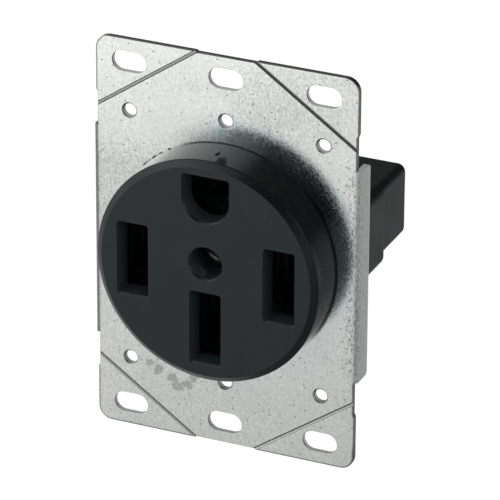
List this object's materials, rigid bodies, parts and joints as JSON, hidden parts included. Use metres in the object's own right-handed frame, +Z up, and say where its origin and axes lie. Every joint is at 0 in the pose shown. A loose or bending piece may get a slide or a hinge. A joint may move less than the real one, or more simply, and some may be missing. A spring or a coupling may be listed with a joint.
{
  "type": "power receptacle",
  "caption": "Round-faced flush power receptacle with straight blade slots and a U-shaped ground slot, on a slotted steel mounting strap with screw terminals behind.",
  "frame": {"origin": "centre of the pattern of the four corner box-screw slots, on the strap's back face", "axes": "+Y out of the strap's back towards the wires, so the face looks along -Y; +Z up the strap towards the ground slot; +X to the right seen from the front"},
  "size_m": [0.0632, 0.0541, 0.094],
  "materials": {
    "zinc_steel": "galvanised, satin, fine spangle",
    "face_plastic": "moulded thermoset, satin",
    "housing_plastic": "moulded thermoset, matt",
    "plated_steel": "zinc plated, bright",
    "dark_steel": "phosphated, dark",
    "contact_brass": "rolled strip",
    "lug_brass": "drawn section, tarnished",
    "spring_steel": "hardened strip",
    "brass_screw": "turned",
    "nickel_screw": "nickel plated",
    "green_screw": "green dyed plating"
  },
  "bodies": {
    "root": {"mounting_strap": "zinc_steel", "face_cover": "face_plastic", "rear_housing": "housing_plastic", "assembly_screw": "dark_steel", "assembly_nut": "plated_steel", "lock_washer": "plated_steel", "ground_bond_strip": "contact_brass", "line_left_contact": "contact_brass", "line_left_contact_spring": "spring_steel", "line_left_lug": "lug_brass", "line_left_pressure_plate": "plated_steel", "line_left_clamp_screw": "brass_screw", "line_right_contact": "contact_brass", "line_right_contact_spring": "spring_steel", "line_right_lug": "lug_brass", "line_right_pressure_plate": "plated_steel", "line_right_clamp_screw": "brass_screw", "neutral_contact": "contact_brass", "neutral_contact_spring": "spring_steel", "neutral_lug": "lug_brass", "neutral_pressure_plate": "plated_steel", "neutral_clamp_screw": "nickel_screw", "ground_contact": "contact_brass", "ground_lug": "lug_brass", "ground_pressure_plate": "plated_steel", "ground_clamp_screw": "green_screw"}
  },
  "joints": []
}
